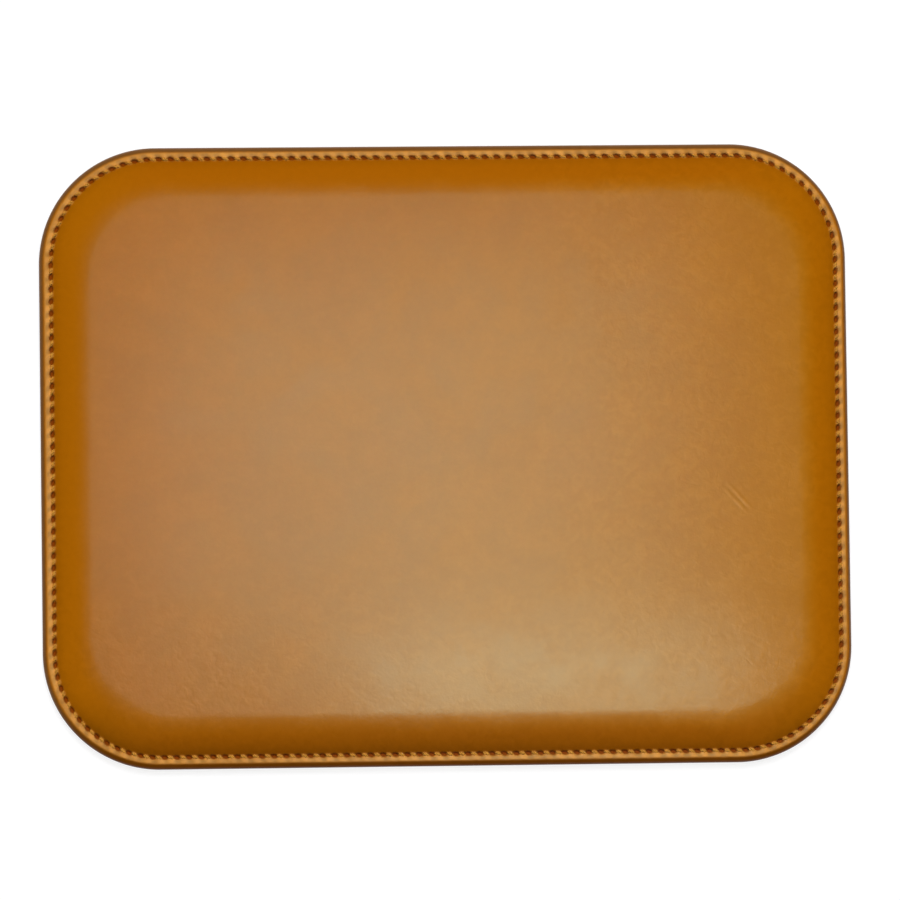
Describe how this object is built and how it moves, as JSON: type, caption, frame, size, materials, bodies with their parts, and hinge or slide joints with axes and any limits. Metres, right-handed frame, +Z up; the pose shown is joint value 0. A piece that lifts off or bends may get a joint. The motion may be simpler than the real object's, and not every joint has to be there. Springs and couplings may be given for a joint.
{
  "type": "desk mat",
  "caption": "Low padded leather desk mat: a rounded rectangle with a flat work surface, a sloping border and a turned rim sewn to a suede backing.",
  "frame": {"origin": "on the desk, under the middle of the mat", "axes": "+X along the long side, to the user's right; +Y away from the user; +Z up, out of the work surface"},
  "size_m": [0.26, 0.1994, 0.0063],
  "materials": {
    "tan_leather": "satin",
    "foam": "matte",
    "fibreboard": "matte",
    "brown_suede": "matte",
    "waxed_thread": "satin"
  },
  "bodies": {
    "root": {"top_cover": "tan_leather", "foam_pad": "foam", "stiffener_board": "fibreboard", "backing_sheet": "brown_suede", "needle_thread": "waxed_thread", "bobbin_thread": "waxed_thread"}
  },
  "joints": []
}
